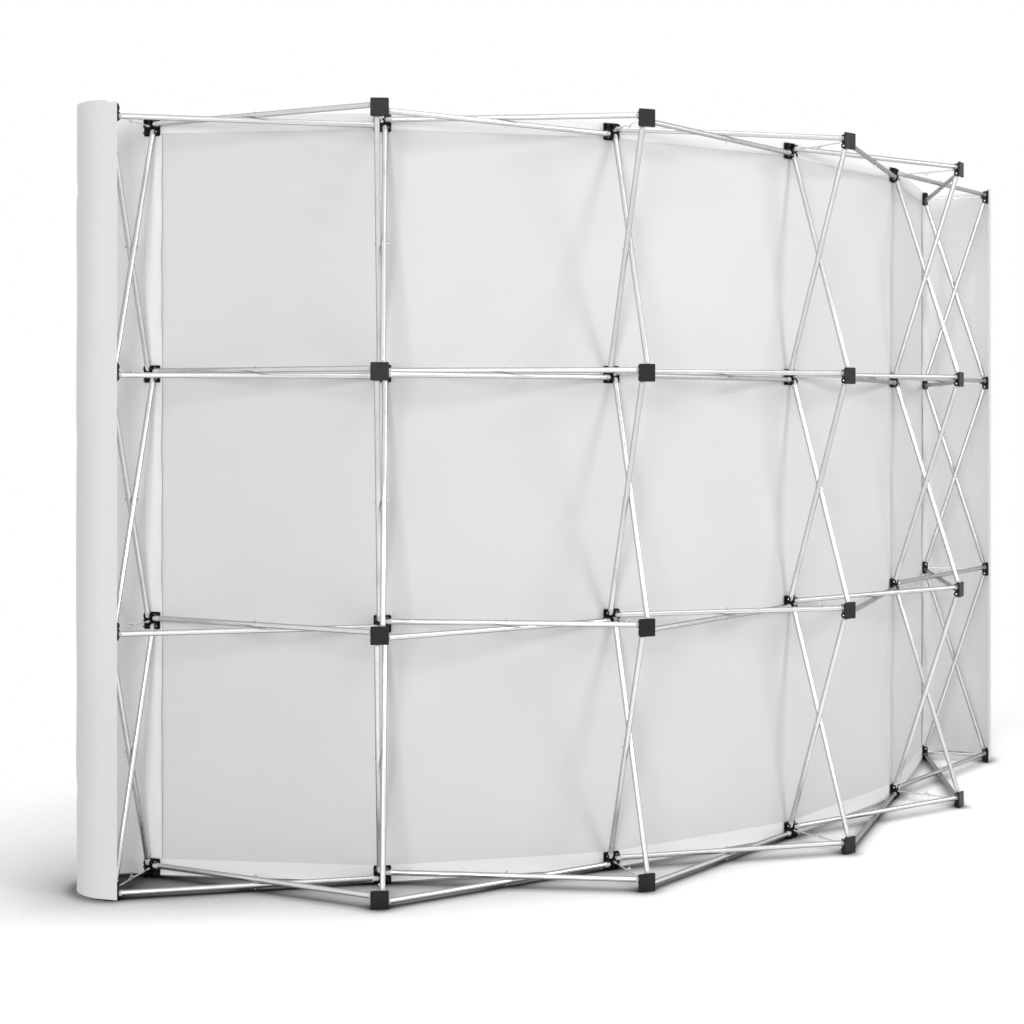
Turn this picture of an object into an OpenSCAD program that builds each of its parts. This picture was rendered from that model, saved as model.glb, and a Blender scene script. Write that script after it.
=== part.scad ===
// Curved pop up display backwall: a scissor frame of aluminium tubes and moulded
// hubs, 5 bays wide and 3 tiers high, with a fabric graphic on its hollow side.
// X runs across the wall, +Y points to the back of the frame and +Z points up.
// Column 1 stands at +X. Level 1 is the row of hubs at the floor.

/* [Frame] */
// Height from one row of hubs to the next
row_pitch = 739; // [500:1:900]
// Distance from the front hubs' pins to the rear hubs' pins
frame_depth = 225.5; // [170:0.5:300]
// Angle that each bay turns the wall by, in degrees
bay_turn = 18.2; // [12:0.1:22]

/* [Struts] */
// Outer diameter of the aluminium tube
tube_d = 16; // [13:0.2:20]
// Wall of the tube
tube_wall = 1.2; // [0.8:0.1:2]
// Length of an end plug from its pin to the end of the tube
plug_head = 14; // [12:0.5:24]
// Length of the plug's spigot inside the tube
plug_spigot = 20; // [10:1:40]
// Clearance between the spigot and the tube's bore
spigot_clearance = 0.2; // [0.1:0.05:0.4]
// Gap between two tubes where they cross
crossing_gap = 0.5; // [0.3:0.1:1]
// Shank diameter of the rivet at a crossing
rivet_d = 4; // [3:0.1:5]
// Clearance between a rivet or pin and its hole
pin_clearance = 0.1; // [0.05:0.01:0.1]
// Diameter of the collar under a rivet's stud
rivet_collar_d = 9; // [7:0.5:11]
// Thickness of the collar
rivet_collar_t = 1.2; // [0.8:0.1:2]
// Diameter of the stud at each end of a rivet
rivet_stud_d = 5.8; // [5:0.2:7]
// Height of the stud above the tube
rivet_stud_h = 6.5; // [4:0.5:8]

/* [Hubs] */
// Width of the square core in the middle of a hub
core_w = 12; // [10.5:0.1:15]
// Thickness of a hub's face plate
face_t = 2.5; // [1.8:0.1:4]
// Corner radius of the face plate
face_corner = 4; // [2:0.5:6]
// Edge of the face plate beyond the ears
face_margin = 2; // [0.5:0.1:3]
// Rim of a clevis ear beyond the tube's own radius
ear_rim = 1; // [0.5:0.1:2]
// Thickness of a clevis ear
ear_t = 2.5; // [1.8:0.1:3.5]
// Side clearance between a strut's end and each ear
ear_clearance = 0.3; // [0.2:0.05:0.6]
// Clearance between a strut's round end and the face plate
swing_clearance = 0.8; // [0.5:0.1:2]
// Clearance between a strut's round end and the core
core_clearance = 1; // [0.5:0.1:2]
// Diameter of the pin that holds a strut in its clevis
hub_pin_d = 4; // [3:0.1:5]
// Diameter of the pin's heads
hub_pin_head_d = 6; // [5:0.5:8]
// Height of the pin's heads
hub_pin_head_h = 1.2; // [0.8:0.1:2]
// Clearance between a pin's head and the ear beside it
head_clearance = 0.4; // [0.2:0.1:1]
// Thickness of the cap on a rear hub
cap_t = 2.2; // [1.2:0.1:4]
// Width of the bevel round the cap's face
cap_bevel = 1.2; // [0.5:0.1:2]

/* [Lock links] */
// Diameter of the hook arm's rod
hook_rod_d = 4.4; // [4:0.2:5.4]
// Diameter of the ferrule at the hook arm's root
ferrule_d = 7; // [6.6:0.2:9]
// Length of the ferrule
ferrule_len = 14; // [8:1:24]
// Depth of the two crimps round the ferrule
crimp_depth = 0.5; // [0.2:0.1:0.8]
// Radius of the hook's bend, on the rod's axis
hook_bend_r = 6.5; // [6:0.5:9]
// Height of the hook's tip above the rod's axis
hook_tip_h = 13; // [12:0.5:18]
// Diameter of the hook's upturned tip
hook_tip_d = 4.2; // [3.4:0.2:4.2]
// Lean of the hook's tip, in degrees
hook_lean = 16; // [5:1:25]
// Distance that the hook's mouth lies in front of the middle of the frame
hook_offset = 5; // [0:1:20]
// Diameter of the cross pin that the hook holds
catch_d = 3.6; // [3:0.1:4.4]
// Clearance of the cross pin in the hook's crook
catch_clearance = 0.4; // [0.3:0.05:0.8]
// Diameter of the balls on the ends of the cross pin
ball_d = 5.6; // [5:0.2:8]
// Diameter of the pin arm's rod
arm_rod_d = 4.4; // [4:0.2:5.4]
// Length of the pin arm's fork
fork_len = 16; // [15:1:24]
// Thickness of the fork's yoke
yoke_t = 4; // [3:0.5:6]
// Thickness of each prong of the fork
prong_t = 1.8; // [1.5:0.1:3]
// Diameter of the pin that the arm hinges on
hinge_pin_d = 3; // [2.5:0.1:3.2]
// Diameter of the hinge pin's heads
hinge_head_d = 5; // [4:0.5:7]
// Height of the hinge pin's heads
hinge_head_h = 1; // [0.6:0.1:2]
// Distance from the core's end to the hinge pin
hinge_reach = 5; // [4.6:0.1:8]
// Side clearance between the arm's eye and each lug
lug_clearance = 0.3; // [0.2:0.05:0.6]

/* [Graphic] */
// Thickness of the fabric
fabric_t = 1; // [0.6:0.1:2]
// Gap between the fabric's lower edge and the floor
fabric_floor_gap = 3; // [1:1:20]
// Height of the fabric's upper edge above the hubs
fabric_top_rise = 4; // [0:1:20]
// Width of the loop tape along the fabric's edges
tape_w = 48; // [25:1:60]
// Thickness of the loop tape
tape_t = 0.8; // [0.5:0.1:1.5]
// Gap between the loop tape and the fabric
tape_gap = 0.2; // [0.1:0.05:0.5]
// Gap between two tapes that meet at a corner
tape_joint = 0.5; // [0.3:0.1:3]
// Width of the hook pad on a hub
pad_w = 40; // [25:1:46]
// Thickness of the hook pad
pad_t = 1.6; // [1:0.1:3]
// Gap between a hook pad and the loop tape
pad_gap = 0.3; // [0.2:0.05:0.6]
// Half width of the crease over a column, level with a hub
crease_at_hub = 50; // [40:1:80]
// Half width of the crease over a column, midway between two hubs
crease_between = 150; // [90:1:220]
// Straight stretch of an end wrap beyond its hub
wrap_flat = 5; // [2:1:60]
// Bare edge of the end rear hub that its wrap leaves open
wrap_reveal = 2; // [1:1:15]
// Depth of the soft folds in an end wrap
wrap_fold = 5; // [0:0.5:8]

/* [Hidden] */
columns = 6;
levels = 4;
bays = columns - 1;
tiers = levels - 1;
arc_fn = 32;

tube_r = tube_d / 2;
bore_r = tube_r - tube_wall;
core_half = core_w / 2;
pin_reach = core_half + core_clearance + tube_r;
arm_shift = tube_r + crossing_gap / 2;
ear_r = tube_r + ear_rim;
hub_half = pin_reach + ear_r + face_margin;
face_back = tube_r + swing_clearance;
face_front = face_back + face_t;
cap_front = face_front + cap_t;
core_end = tube_r;
ear_inner = tube_r + ear_clearance;
ear_outer = ear_inner + ear_t;
hinge_at = core_end + hinge_reach;
link_r = hook_rod_d / 2;
lug_r = core_half * 0.7;
eye_r = core_half * 0.6;

// A vertical strut runs between pins that stand pin_reach above and below their hubs.
strut_len = norm([row_pitch - 2 * pin_reach, frame_depth]);
// A flat strut has the same length, which sets the radii of the two hub circles.
half_turn = bay_turn / 2;
flat_run = sqrt(pow(strut_len, 2) - pow(frame_depth * cos(half_turn), 2));
radius_sum = (flat_run + 2 * pin_reach * cos(half_turn)) / sin(half_turn);
rear_r = (radius_sum + frame_depth) / 2;
front_r = (radius_sum - frame_depth) / 2;
flat_cross = (front_r * sin(half_turn) - pin_reach * cos(half_turn)) / flat_run * strut_len;

// Stack on a front hub: face, hook pad, loop tape, fabric.
pad_stack = pad_t + pad_gap + tape_t + tape_gap;
fabric_back_r = front_r - face_front - pad_stack;
wrap_back_r = rear_r + cap_front + pad_stack;
slope = tan(half_turn);
fabric_vertex_r = fabric_back_r + slope * crease_at_hub / 2;
fabric_low = fabric_floor_gap;
fabric_high = level_z(levels) + hub_half + fabric_top_rise;
wrap_r = (wrap_back_r - fabric_back_r) / 2;
wrap_mid_r = (wrap_back_r + fabric_back_r) / 2;
wrap_start = hub_half;
wrap_turn_at = hub_half + wrap_flat;
wrap_end = -hub_half + wrap_reveal;

// The wall's box is centred on the origin from front to back.
mid_column = column_angle(floor(columns / 2));
end_column = column_angle(1);
back_y = (rear_r + cap_front) * cos(mid_column) + hub_half * sin(mid_column);
front_y = wrap_mid_r * cos(end_column) - wrap_turn_at * sin(end_column) - wrap_r - fabric_t;
centre_y = -(back_y + front_y) / 2;

function pin_arm_name(c, v) = str("pin_arm_c", c, "_l", v);
function column_angle(c) = ((columns + 1) / 2 - c) * bay_turn;
function level_z(v) = hub_half + (v - 1) * row_pitch;
// A point at radius r and side step t of column c, in the plan of the wall.
function plan_point(c, r, t = 0) =
    let (a = column_angle(c)) [r * sin(a) + t * cos(a), r * cos(a) - t * sin(a)];
function heading(from, to) = atan2(to.y - from.y, to.x - from.x);

// The frame of column c: +Y points outwards along its radius, +X towards column c - 1.
module at_column(c) {
    translate([0, centre_y, 0]) rotate([0, 0, -column_angle(c)]) children();
}

// The children stand at a hub, with their +Z out of its face and +Y up.
module at_front_hub(c, v) {
    at_column(c) translate([0, front_r, level_z(v)]) rotate([90, 0, 0]) children();
}

module at_rear_hub(c, v) {
    at_column(c) translate([0, rear_r, level_z(v)]) rotate([90, 0, 180]) children();
}

// The children lie along +X from a strut's first pin, with the pins along Z.
module along_flat_strut(c_from, r_from, c_to, r_to, z) {
    side = c_to > c_from ? -pin_reach : pin_reach;
    from = plan_point(c_from, r_from, side);
    to = plan_point(c_to, r_to, -side);
    translate([from.x, centre_y + from.y, z]) rotate([0, 0, heading(from, to)]) children();
}

module along_upper_strut(b, v) {
    along_flat_strut(b, front_r, b + 1, rear_r, level_z(v) + arm_shift) children();
}

// A lower strut starts at its front pin too, so that both cross at the same distance.
module along_lower_strut(b, v) {
    along_flat_strut(b + 1, front_r, b, rear_r, level_z(v) - arm_shift) children();
}

// A vertical strut of tier q: the rising one goes from the rear hub up to the front hub.
module along_upright_strut(c, q, rising) {
    rise = row_pitch - 2 * pin_reach;
    run = rising ? -frame_depth : frame_depth;
    start = [rising ? -arm_shift : arm_shift, rising ? rear_r : front_r, level_z(q) + pin_reach];
    at_column(c) translate(start) rotate([atan2(run, -rise), 0, 0]) rotate([0, 90, 0]) children();
}

module rounded_plate(w, corner, t) {
    linear_extrude(t) union() {
        square([w - 2 * corner, w], center = true);
        square([w, w - 2 * corner], center = true);
        for (x = [-1, 1], y = [-1, 1])
            translate([x, y] * (w / 2 - corner)) circle(corner, $fn = arc_fn);
    }
}

// ---- Hubs ----

// One clevis, for a strut that leaves along +X, pin_reach out from the core.
module clevis() {
    pin_hole_r = hub_pin_d / 2 + pin_clearance;
    for (side = [-1, 1]) {
        inner_edge = side > 0 ? 0 : ear_outer - arm_shift + hub_pin_head_h + head_clearance;
        low = side > 0 ? -arm_shift + ear_inner : -arm_shift - ear_outer;
        translate([0, low + ear_t, 0]) rotate([90, 0, 0]) linear_extrude(ear_t) difference() {
            union() {
                translate([inner_edge, 0])
                    square([pin_reach + ear_r - inner_edge, face_back + face_t / 2]);
                translate([pin_reach, 0]) circle(ear_r, $fn = 48);
                translate([inner_edge, side > 0 ? -core_end : -ear_r * 0.5])
                    square([pin_reach - inner_edge, ear_r]);
            }
            translate([pin_reach, 0]) circle(pin_hole_r, $fn = arc_fn);
        }
    }
}

// A hub stands on its pins' plane: face plate, core and a pinwheel of four clevises.
module hub_shell() {
    translate([0, 0, face_back]) rounded_plate(2 * hub_half, face_corner, face_t);
    translate([-core_half, -core_half, -core_end]) cube([core_w, core_w, core_end + face_back + 1]);
    for (turn = [0:90:270]) rotate(turn) clevis();
}

module front_hub() {
    difference() {
        hub_shell();
        translate([0, 0, -core_end - 1])
            cylinder(r = link_r + pin_clearance, h = core_end + 1, $fn = arc_fn);
    }
}

module hinge_lug() {
    rotate([90, 0, 90]) linear_extrude(ear_t) difference() {
        union() {
            translate([-lug_r, -hinge_at]) square([2 * lug_r, hinge_reach + 1]);
            translate([0, -hinge_at]) circle(lug_r, $fn = arc_fn);
        }
        translate([0, -hinge_at]) circle(hinge_pin_d / 2 + pin_clearance, $fn = arc_fn);
    }
}

module rear_hub() {
    hub_shell();
    lug_at = arm_rod_d / 2 + lug_clearance;
    for (x = [-lug_at - ear_t, lug_at]) translate([x, 0, 0]) hinge_lug();
}

// Flat cap that closes a rear hub's face, with a bevel along its four edges.
module hub_cap() {
    difference() {
        rounded_plate(2 * hub_half, face_corner, cap_t);
        for (turn = [0:90:270]) rotate(turn)
            translate([hub_half, 0, cap_t - cap_bevel]) rotate([0, -45, 0])
                translate([0, -hub_half - 1, 0]) cube([2 * cap_bevel, 2 * hub_half + 2, 2 * cap_bevel]);
    }
}

module front_hubs(c) {
    color([0.17, 0.17, 0.18]) for (v = [1:levels]) at_front_hub(c, v) front_hub();
}

module rear_hubs(c) {
    color([0.17, 0.17, 0.18]) for (v = [1:levels]) at_rear_hub(c, v) rear_hub();
}

module rear_hub_caps() {
    color([0.2, 0.2, 0.21]) for (c = [1:columns], v = [1:levels])
        at_rear_hub(c, v) translate([0, 0, face_front]) hub_cap();
}

// ---- Struts ----

// A tube with its rivet hole, lying along +X from the first pin.
module strut_tube(cross_at) {
    difference() {
        translate([plug_head, 0, 0]) rotate([0, 90, 0]) difference() {
            cylinder(r = tube_r, h = strut_len - 2 * plug_head, $fn = 48);
            translate([0, 0, -1]) cylinder(r = bore_r, h = strut_len, $fn = 48);
        }
        translate([cross_at, 0, -tube_r - 1])
            cylinder(r = rivet_d / 2 + pin_clearance, h = tube_d + 2, $fn = arc_fn);
    }
}

// Moulded plug: a round head with the pin's hole, and a spigot inside the tube.
module end_plug() {
    difference() {
        union() {
            sphere(tube_r, $fn = 48);
            rotate([0, 90, 0]) cylinder(r = tube_r, h = plug_head, $fn = 48);
            rotate([0, 90, 0])
                cylinder(r = bore_r - spigot_clearance, h = plug_head + plug_spigot, $fn = 48);
        }
        translate([0, 0, -tube_r - 1])
            cylinder(r = hub_pin_d / 2 + pin_clearance, h = tube_d + 2, $fn = arc_fn);
    }
}

// A cylinder of height h along +Z, whose top a sphere of radius dome_r rounds off.
module domed(r, h, dome_r) {
    intersection() {
        translate([0, 0, h - dome_r]) sphere(dome_r, $fn = 48);
        cylinder(r = r, h = h + 1, $fn = arc_fn);
    }
}

// Pin along Z with two domed heads, seated on faces grip apart.
module headed_pin(shank_d, head_d, head_h, grip) {
    dome_r = (pow(head_d / 2, 2) + pow(head_h, 2)) / (2 * head_h);
    cylinder(r = shank_d / 2, h = grip, center = true, $fn = arc_fn);
    for (side = [0, 180]) rotate([side, 0, 0])
        translate([0, 0, grip / 2]) domed(head_d, head_h, dome_r);
}

// Rivet along Z: on each side of the crossed tubes a collar and a round-ended stud.
module crossing_rivet() {
    seat = arm_shift + tube_r;
    stud_r = rivet_stud_d / 2;
    cylinder(r = rivet_d / 2, h = 2 * seat, center = true, $fn = arc_fn);
    for (side = [0, 180]) rotate([side, 0, 0]) translate([0, 0, seat]) {
        cylinder(r = rivet_collar_d / 2, h = rivet_collar_t, $fn = 48);
        domed(stud_r, rivet_stud_h, 1.3 * stud_r);
    }
}

module both_ends() {
    children();
    translate([strut_len, 0, 0]) rotate([0, 0, 180]) children();
}

module every_strut() {
    for (b = [1:bays], v = [1:levels]) {
        along_upper_strut(b, v) children();
        along_lower_strut(b, v) children();
    }
    for (c = [1:columns], q = [1:tiers], rising = [true, false])
        along_upright_strut(c, q, rising) children();
}

module upper_struts(b) {
    color([0.83, 0.84, 0.85]) for (v = [1:levels]) along_upper_strut(b, v) strut_tube(flat_cross);
}

module lower_struts(b) {
    color([0.83, 0.84, 0.85]) for (v = [1:levels]) along_lower_strut(b, v) strut_tube(flat_cross);
}

module upright_struts(rising) {
    color([0.83, 0.84, 0.85]) for (c = [1:columns], q = [1:tiers])
        along_upright_strut(c, q, rising) strut_tube(strut_len / 2);
}

module strut_end_plugs() {
    color([0.86, 0.87, 0.88]) every_strut() both_ends() end_plug();
}

module hub_pins() {
    color([0.9, 0.9, 0.9]) every_strut() both_ends()
        headed_pin(hub_pin_d, hub_pin_head_d, hub_pin_head_h, 2 * ear_outer);
}

module crossing_rivets() {
    color([0.8, 0.8, 0.8]) {
        for (b = [1:bays], v = [1:levels]) along_upper_strut(b, v)
            translate([flat_cross, 0, -arm_shift]) crossing_rivet();
        for (c = [1:columns], q = [1:tiers]) along_upright_strut(c, q, true)
            translate([strut_len / 2, 0, arm_shift]) crossing_rivet();
    }
}

// ---- Lock links: a fixed hook arm in front, a hinged pin arm behind ----

// In the top row the same parts are turned over, so their hooks hang down.
function link_flip(v) = v == levels ? 180 : 0;
catch_at = frame_depth / 2 - hook_offset;
arm_len = frame_depth - hinge_at - catch_at;

// The cross pin lies in the hook's crook, halfway round the bend.
crook = -(90 + hook_lean) / 2;
catch_reach = hook_bend_r - link_r - catch_clearance - catch_d / 2;
bend_at = catch_at - catch_reach * cos(crook);
catch_h = hook_bend_r + catch_reach * sin(crook);

// Ferrule along +Z, with two crimps that grip the rod.
module ferrule() {
    outer = ferrule_d / 2;
    crimp_w = ferrule_len / 8;
    rotate_extrude($fn = 48) difference() {
        square([outer, ferrule_len]);
        for (z = [ferrule_len * 0.5, ferrule_len * 0.8]) polygon([
            [outer + 1, z - crimp_w], [outer, z - crimp_w], [outer - crimp_depth, z - crimp_w / 2],
            [outer - crimp_depth, z + crimp_w / 2], [outer, z + crimp_w], [outer + 1, z + crimp_w]]);
    }
}

// Hook arm: a bent rod that leaves the front hub's centre along +X, with Z up.
module hook_arm() {
    tip_r = hook_tip_d / 2;
    rise = (hook_tip_h - tip_r - hook_bend_r * (1 - sin(hook_lean))) / cos(hook_lean);
    inset = tip_r / 4;
    rotate([0, 90, 0]) cylinder(r = link_r, h = bend_at, $fn = arc_fn);
    translate([core_end, 0, 0]) rotate([0, 90, 0]) ferrule();
    translate([bend_at, 0, hook_bend_r]) rotate([90, 0, 0]) {
        rotate(-90) rotate_extrude(angle = 90 - hook_lean, $fn = 96)
            translate([hook_bend_r, 0]) circle(link_r, $fn = arc_fn);
        rotate(-hook_lean) translate([hook_bend_r, -inset, 0]) rotate([-90, 0, 0]) {
            cylinder(r = tip_r, h = rise + inset, $fn = arc_fn);
            translate([0, 0, rise + inset]) sphere(tip_r, $fn = arc_fn);
        }
    }
}

// Pin arm: it points along +X from its hinge, with Z up and its fork astride the hook.
module pin_arm() {
    hole_r = hinge_pin_d / 2 + pin_clearance;
    prong_at = link_r + catch_clearance;
    prong_end = prong_at + prong_t;
    prong_len = norm([fork_len, catch_h]);
    difference() {
        union() {
            rotate([90, 0, 0]) cylinder(r = eye_r, h = arm_rod_d, center = true, $fn = arc_fn);
            rotate([0, 90, 0]) cylinder(r = arm_rod_d / 2, h = arm_len - fork_len, $fn = arc_fn);
        }
        rotate([90, 0, 0]) cylinder(r = hole_r, h = arm_rod_d + 2, center = true, $fn = arc_fn);
    }
    translate([arm_len - fork_len, 0, 0]) {
        translate([-yoke_t / 2, -prong_end, -arm_rod_d / 2]) cube([yoke_t, 2 * prong_end, arm_rod_d]);
        for (y = [-prong_at, prong_end]) translate([0, y, 0]) rotate([90, 0, 0])
            linear_extrude(prong_t) rotate(atan2(catch_h, fork_len)) {
                translate([0, -arm_rod_d / 2]) square([prong_len, arm_rod_d]);
                translate([prong_len, 0]) circle(arm_rod_d / 2, $fn = arc_fn);
            }
    }
    translate([arm_len, 0, catch_h]) {
        rotate([90, 0, 0]) cylinder(r = catch_d / 2, h = 2 * prong_end, center = true, $fn = arc_fn);
        for (side = [-1, 1]) translate([0, side * (prong_end + ball_d * 0.3), 0])
            sphere(ball_d / 2, $fn = arc_fn);
    }
}

module hook_arms() {
    color([0.78, 0.79, 0.8]) for (c = [1:columns], v = [1:levels]) at_column(c)
        translate([0, front_r, level_z(v)]) rotate([link_flip(v), 0, 90]) hook_arm();
}

module pin_arm_at(c, v) {
    color([0.75, 0.76, 0.77]) at_column(c)
        translate([0, rear_r - hinge_at, level_z(v)]) rotate([link_flip(v), 0, -90]) pin_arm();
}

module arm_hinge_pins() {
    grip = arm_rod_d + 2 * (lug_clearance + ear_t);
    color([0.85, 0.85, 0.85]) for (c = [1:columns], v = [1:levels]) at_column(c)
        translate([0, rear_r - hinge_at, level_z(v)]) rotate([0, 90, 0])
            headed_pin(hinge_pin_d, hinge_head_d, hinge_head_h, grip);
}

// ---- Fabric graphic ----

module hook_pad() {
    rounded_plate(pad_w, face_corner, pad_t);
}

module hook_pads() {
    color([0.12, 0.12, 0.12]) {
        for (c = [1:columns], v = [1:levels])
            at_front_hub(c, v) translate([0, 0, face_front]) hook_pad();
        for (c = [1, columns], v = [1:levels])
            at_rear_hub(c, v) translate([0, 0, cap_front]) hook_pad();
    }
}

// A closed sheet between two grids of points, which both run up in columns.
module sheet_between(near, far) {
    across = len(near);
    up = len(near[0]);
    count = across * up;
    function at(i, j, side) = side * count + i * up + j;
    function quad(a, b, c, d) = [[a, b, c], [a, c, d]];
    skin = [for (i = [0:across - 2], j = [0:up - 2], side = [0, 1])
        let (a = at(i, j, side), b = at(i + 1, j, side), c = at(i + 1, j + 1, side), d = at(i, j + 1, side))
            side == 0 ? quad(a, b, c, d) : quad(d, c, b, a)];
    rims = concat(
        [for (i = [0:across - 2]) quad(at(i, 0, 1), at(i + 1, 0, 1), at(i + 1, 0, 0), at(i, 0, 0))],
        [for (i = [0:across - 2])
            quad(at(i, up - 1, 0), at(i + 1, up - 1, 0), at(i + 1, up - 1, 1), at(i, up - 1, 1))],
        [for (j = [0:up - 2]) quad(at(0, j, 0), at(0, j + 1, 0), at(0, j + 1, 1), at(0, j, 1))],
        [for (j = [0:up - 2], i = across - 1)
            quad(at(i, j, 1), at(i, j + 1, 1), at(i, j + 1, 0), at(i, j, 0))]
    );
    polyhedron([for (grid = [near, far], line = grid, p = line) p],
        [for (pair = concat(skin, rims), face = pair) face]);
}

// How far a height lies between two levels: 0 at a hub, 1 midway.
function between_levels(z) =
    let (f = (z - level_z(1)) / row_pitch) f <= 0 || f >= tiers ? 0 : pow(sin(180 * (f - floor(f))), 2);
// Half width of the crease over column c at height z. The end columns stay straight.
function crease_w(c, z) = c == 1 || c == columns ? crease_at_hub
    : crease_at_hub + (crease_between - crease_at_hub) * between_levels(z);
// How far the tensioned fabric cuts the corner, at distance u from column c.
function crease_drop(c, u, z) =
    let (w = crease_w(c, z)) u >= w ? 0 : slope * w / 2 * pow(1 - u / w, 2);

// A point on the fabric between columns b and b + 1, offset towards the audience.
function panel_point(b, s, z, offset) =
    let (
        start = plan_point(b, fabric_vertex_r - crease_drop(b, s * bay_chord, z)),
        stop = plan_point(b + 1, fabric_vertex_r - crease_drop(b + 1, (1 - s) * bay_chord, z)),
        start_flat = plan_point(b, fabric_vertex_r),
        stop_flat = plan_point(b + 1, fabric_vertex_r),
        p = start_flat + s * (stop_flat - start_flat) + (start - start_flat) + (stop - stop_flat),
        a = column_angle(b + s)
    )
    [p.x - offset * sin(a), p.y - offset * cos(a) + centre_y, z];
// The short stretch from an end column to its seam with the wrap.
function seam_point(c, z, offset) =
    let (
        side = c == 1 ? wrap_start : -wrap_start,
        p = plan_point(c, fabric_vertex_r - crease_drop(c, 0, z) - offset, side)
    )
    [p.x, p.y + centre_y, z];

bay_chord = 2 * fabric_vertex_r * sin(half_turn);
bay_steps = [0, 0.06, 0.15, 0.3, 0.7, 0.85, 0.94];
tier_steps = 4;
fabric_heights = concat(
    [fabric_low],
    [for (q = [0:tiers * tier_steps]) level_z(1) + q / tier_steps * row_pitch],
    [fabric_high]
);

function panel_grid(heights, offset) = concat(
    [[for (z = heights) seam_point(1, z, offset)]],
    [for (b = [1:bays], s = bay_steps) [for (z = heights) panel_point(b, s, z, offset)]],
    [[for (z = heights) panel_point(bays, 1, z, offset)]],
    [[for (z = heights) seam_point(columns, z, offset)]]
);

module graphic_panel() {
    color([0.89, 0.89, 0.9])
        sheet_between(panel_grid(fabric_heights, fabric_t), panel_grid(fabric_heights, 0));
}

// The wrap's route in its end column's frame: along the front, round, and back along the rear.
wrap_arc_steps = 14;
function wrap_route(offset) = concat(
    [[wrap_start, fabric_back_r - offset]],
    [for (i = [0:wrap_arc_steps]) let (a = -90 + 180 * i / wrap_arc_steps)
        [wrap_turn_at, wrap_mid_r] + (wrap_r + offset) * [cos(a), sin(a)]],
    [for (x = [hub_half, 0, wrap_end]) [x, wrap_back_r + offset]]
);
// Soft upright folds, which die out at the seam, at the rear edge and level with the hubs.
function fold_at(i, z) =
    let (a = 180 * (i - 1) / wrap_arc_steps)
    i < 1 || i > wrap_arc_steps + 1 ? 0 : -wrap_fold * sin(a) * sin(3 * a) * between_levels(z);

function wrap_grid(side, offset) =
    let (c = side > 0 ? 1 : columns, route = wrap_route(offset))
    [for (i = [0:len(route) - 1]) [for (z = fabric_heights)
        let (
            a = -90 + 180 * (i - 1) / wrap_arc_steps,
            fold = fold_at(i, z),
            p = plan_point(c, route[i].y + fold * sin(a), side * (route[i].x + fold * cos(a)))
        )
        [p.x, p.y + centre_y, z]]];

module end_wrap(side) {
    outer = wrap_grid(side, fabric_t);
    inner = wrap_grid(side, 0);
    color([0.87, 0.87, 0.88]) if (side > 0) sheet_between(inner, outer); else sheet_between(outer, inner);
}

// A grid over the tape on end column c, from its outer edge across the crease.
function end_tape_grid(c, heights, offset) =
    let (
        side = c == 1 ? 1 : -1,
        along = (tape_w / 2) / (bay_steps[1] * bay_chord),
        step = bay_steps[1],
        outer = [for (z = heights)
            let (p = plan_point(c, fabric_vertex_r - crease_drop(c, 0, z) - offset, side * tape_w / 2))
            [p.x, p.y + centre_y, z]],
        middle = [for (z = heights) panel_point(c == 1 ? 1 : bays, c == 1 ? 0 : 1, z, offset)],
        next = [for (z = heights) panel_point(c == 1 ? 1 : bays, c == 1 ? step : 1 - step, z, offset)],
        inner = [for (j = [0:len(heights) - 1]) middle[j] + along * (next[j] - middle[j])]
    )
    side > 0 ? [outer, middle, inner] : [inner, middle, outer];

// Loop tape along the upper and lower edges, the end columns and the wraps' rear edges.
module loop_tapes() {
    near = -tape_gap;
    far = -tape_gap - tape_t;
    rows = [[fabric_low, fabric_low + tape_w], [fabric_high - tape_w, fabric_high]];
    upright = [fabric_low + tape_w + tape_joint, fabric_high - tape_w - tape_joint];
    color([0.94, 0.94, 0.94]) {
        for (row = rows) sheet_between(panel_grid(row, near), panel_grid(row, far));
        for (c = [1, columns])
            sheet_between(end_tape_grid(c, upright, near), end_tape_grid(c, upright, far));
        for (c = [1, columns]) at_column(c)
            translate([c == 1 ? wrap_end : -wrap_end - tape_w, wrap_back_r - tape_gap - tape_t, fabric_low])
                cube([tape_w, tape_t, fabric_high - fabric_low]);
    }
}

for (c = [1:columns]) {
    front_hubs(c);
    rear_hubs(c);
}
for (b = [1:bays]) {
    upper_struts(b);
    lower_struts(b);
}
upright_struts(true);  // rising_struts
upright_struts(false);  // falling_struts
strut_end_plugs();
hub_pins();
crossing_rivets();
rear_hub_caps();
hook_arms();
arm_hinge_pins();
hook_pads();
loop_tapes();
graphic_panel();
end_wrap(1);  // left_wrap
end_wrap(-1);  // right_wrap
for (c = [1:columns], v = [1:levels])
    pin_arm_at(c, v);
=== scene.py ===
from math import atan2, cos, exp, hypot, pi, radians, sin, tan

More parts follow.
